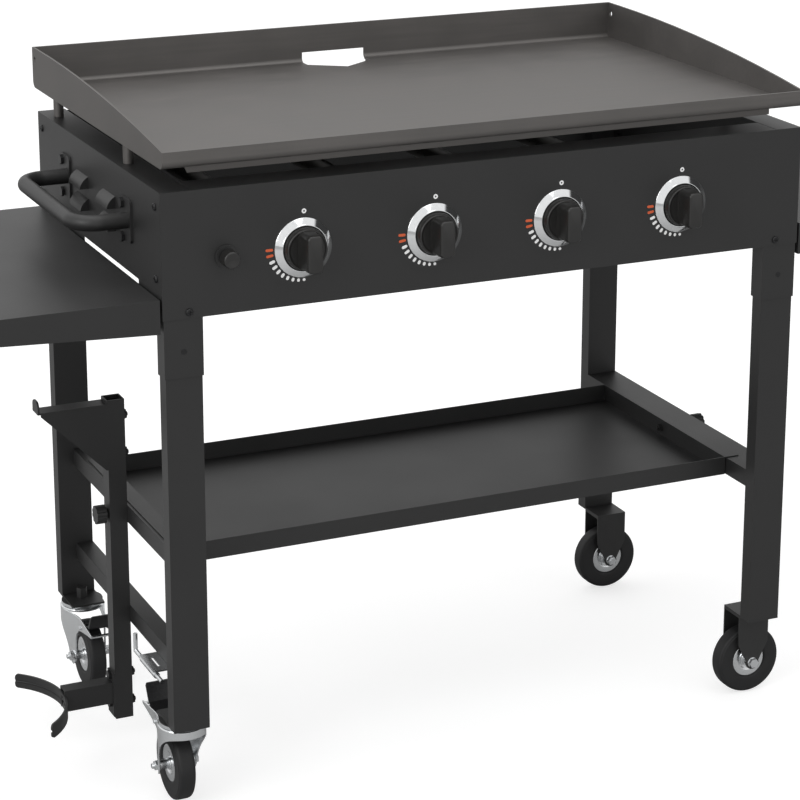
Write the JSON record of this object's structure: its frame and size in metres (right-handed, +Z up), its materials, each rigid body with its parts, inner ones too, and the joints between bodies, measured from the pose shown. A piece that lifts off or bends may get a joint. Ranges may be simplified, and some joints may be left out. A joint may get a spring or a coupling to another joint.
{
  "type": "outdoor gas griddle station",
  "caption": "Wheeled gas griddle station: walled flat cooking plate on a burner box with knobs, legs with a tray shelf, side shelves, a side handle and a gas bottle carrier.",
  "frame": {"origin": "on the ground, under the middle of the whole station's box", "axes": "+Z up, -Y toward the cook's side with the knobs, +X to the right along the cooking plate"},
  "size_m": [1.586, 0.664, 0.9364],
  "materials": {
    "rolled_steel": "seasoned rolled steel",
    "black_powder_coat": "fine satin powder coat",
    "black_screws": "black oxide",
    "zinc": "bright zinc plate",
    "chrome_ring": "polished chrome",
    "gloss_black_plastic": "gloss moulded",
    "matte_black_plastic": "fine moulded texture",
    "tyre_rubber": "satin moulded",
    "brass_fittings": "machined",
    "burner_steel": "drawn stainless tube",
    "white_ceramic": "glazed ceramic"
  },
  "bodies": {
    "station": {"grease_cup_bracket": "black_powder_coat", "front_panel": "black_powder_coat", "left_side_panel": "black_powder_coat", "right_side_panel": "black_powder_coat", "rear_panel": "black_powder_coat", "leg_brackets": "black_powder_coat", "handle_bar": "black_powder_coat", "handle_brackets": "black_powder_coat", "left_upper_crossbar": "black_powder_coat", "left_lower_crossbar": "black_powder_coat", "right_crossbar": "black_powder_coat", "bottom_shelf": "black_powder_coat", "tank_post": "black_powder_coat", "tank_hook": "black_powder_coat", "tank_cradle": "black_powder_coat", "front_left_leg": "black_powder_coat", "front_right_leg": "black_powder_coat", "rear_left_leg": "black_powder_coat", "rear_right_leg": "black_powder_coat", "fixed_forks": "black_powder_coat", "panel_bolts": "black_screws", "frame_bolts": "black_screws", "latch_plate": "zinc", "caster_plates": "zinc", "gas_manifold": "zinc", "burners": "burner_steel", "valve_bodies": "brass_fittings", "knob_bezels": "chrome_ring", "igniter_body": "matte_black_plastic", "igniter_electrodes": "white_ceramic"},
    "griddle": {"griddle_plate": "rolled_steel", "plate_stiffener": "rolled_steel", "plate_feet": "rolled_steel"},
    "grease_cup": {"grease_cup": "zinc"},
    "valve_stem_1": {"valve_stem_1": "brass_fittings"},
    "knob_1": {"knob_1": "gloss_black_plastic"},
    "valve_stem_2": {"valve_stem_2": "brass_fittings"},
    "knob_2": {"knob_2": "gloss_black_plastic"},
    "valve_stem_3": {"valve_stem_3": "brass_fittings"},
    "knob_3": {"knob_3": "gloss_black_plastic"},
    "valve_stem_4": {"valve_stem_4": "brass_fittings"},
    "knob_4": {"knob_4": "gloss_black_plastic"},
    "igniter_button": {"igniter_button": "matte_black_plastic"},
    "left_shelf": {"left_side_shelf": "black_powder_coat"},
    "right_shelf": {"right_side_shelf": "black_powder_coat"},
    "left_hand_screw": {"left_hand_screw": "matte_black_plastic"},
    "right_hand_screw": {"right_hand_screw": "matte_black_plastic"},
    "latch_rod": {"latch_rod": "zinc"},
    "front_caster": {"front_caster_fork": "zinc"},
    "front_pedal": {"front_brake_pedal": "zinc"},
    "front_left_wheel": {"front_left_tyre": "tyre_rubber", "front_left_rim": "zinc"},
    "front_right_wheel": {"front_right_tyre": "tyre_rubber", "front_right_rim": "zinc"},
    "rear_caster": {"rear_caster_fork": "zinc"},
    "rear_pedal": {"rear_brake_pedal": "zinc"},
    "rear_left_wheel": {"rear_left_tyre": "tyre_rubber", "rear_left_rim": "zinc"},
    "rear_right_wheel": {"rear_right_tyre": "tyre_rubber", "rear_right_rim": "zinc"}
  },
  "joints": [
    {"name": "griddle_lift", "type": "slide", "parent": "station", "child": "griddle", "axis": [0, 0, 1], "range_m": [0, 0.08]},
    {"name": "grease_cup_slide", "type": "slide", "parent": "station", "child": "grease_cup", "axis": [0, 1, 0], "range_m": [0, 0.1]},
    {"name": "knob_1_turn", "type": "hinge", "parent": "station", "child": "valve_stem_1", "pos_m": [-0.27375, -0.288, 0.761], "axis": [0, -1, 0], "range_deg": [0, 180]},
    {"name": "knob_1_push", "type": "slide", "parent": "valve_stem_1", "child": "knob_1", "axis": [0, 1, 0], "range_m": [0, 0.003], "stiffness_N_per_m": 800},
    {"name": "knob_2_turn", "type": "hinge", "parent": "station", "child": "valve_stem_2", "pos_m": [-0.09125, -0.288, 0.761], "axis": [0, -1, 0], "range_deg": [0, 180]},
    {"name": "knob_2_push", "type": "slide", "parent": "valve_stem_2", "child": "knob_2", "axis": [0, 1, 0], "range_m": [0, 0.003], "stiffness_N_per_m": 800},
    {"name": "knob_3_turn", "type": "hinge", "parent": "station", "child": "valve_stem_3", "pos_m": [0.09125, -0.288, 0.761], "axis": [0, -1, 0], "range_deg": [0, 180]},
    {"name": "knob_3_push", "type": "slide", "parent": "valve_stem_3", "child": "knob_3", "axis": [0, 1, 0], "range_m": [0, 0.003], "stiffness_N_per_m": 800},
    {"name": "knob_4_turn", "type": "hinge", "parent": "station", "child": "valve_stem_4", "pos_m": [0.27375, -0.288, 0.761], "axis": [0, -1, 0], "range_deg": [0, 180]},
    {"name": "knob_4_push", "type": "slide", "parent": "valve_stem_4", "child": "knob_4", "axis": [0, 1, 0], "range_m": [0, 0.003], "stiffness_N_per_m": 800},
    {"name": "igniter_push", "type": "slide", "parent": "station", "child": "igniter_button", "axis": [0, 1, 0], "range_m": [0, 0.004], "stiffness_N_per_m": 500},
    {"name": "left_shelf_lift", "type": "slide", "parent": "station", "child": "left_shelf", "axis": [0, 0, 1], "range_m": [0, 0.01]},
    {"name": "right_shelf_lift", "type": "slide", "parent": "station", "child": "right_shelf", "axis": [0, 0, 1], "range_m": [0, 0.01]},
    {"name": "left_hand_screw_turn", "type": "hinge", "parent": "station", "child": "left_hand_screw", "pos_m": [0, -0.0255, 0.3395], "axis": [1, 0, 0], "continuous": true},
    {"name": "right_hand_screw_turn", "type": "hinge", "parent": "station", "child": "right_hand_screw", "pos_m": [0, -0.0255, 0.3395], "axis": [1, 0, 0], "continuous": true},
    {"name": "latch_slide", "type": "slide", "parent": "station", "child": "latch_rod", "axis": [0, 1, 0], "range_m": [0, 0.02]},
    {"name": "front_caster_swivel", "type": "hinge", "parent": "station", "child": "front_caster", "pos_m": [-0.4346, -0.2447, 0.125], "axis": [0, 0, 1], "continuous": true},
    {"name": "front_left_wheel_spin", "type": "hinge", "parent": "front_caster", "child": "front_left_wheel", "pos_m": [-0.4346, -0.2167, 0.05], "axis": [1, 0, 0], "continuous": true},
    {"name": "front_brake", "type": "hinge", "parent": "front_caster", "child": "front_pedal", "pos_m": [-0.4346, -0.1927, 0.102], "axis": [-1, 0, 0], "range_deg": [0, 20]},
    {"name": "front_right_wheel_spin", "type": "hinge", "parent": "station", "child": "front_right_wheel", "pos_m": [0.4346, -0.2397, 0.05], "axis": [0, 1, 0], "continuous": true},
    {"name": "rear_caster_swivel", "type": "hinge", "parent": "station", "child": "rear_caster", "pos_m": [-0.4346, 0.1937, 0.125], "axis": [0, 0, 1], "continuous": true},
    {"name": "rear_left_wheel_spin", "type": "hinge", "parent": "rear_caster", "child": "rear_left_wheel", "pos_m": [-0.4346, 0.1657, 0.05], "axis": [1, 0, 0], "continuous": true},
    {"name": "rear_brake", "type": "hinge", "parent": "rear_caster", "child": "rear_pedal", "pos_m": [-0.4346, 0.1417, 0.102], "axis": [1, 0, 0], "range_deg": [0, 20]},
    {"name": "rear_right_wheel_spin", "type": "hinge", "parent": "station", "child": "rear_right_wheel", "pos_m": [0.4346, 0.1887, 0.05], "axis": [0, 1, 0], "continuous": true}
  ]
}
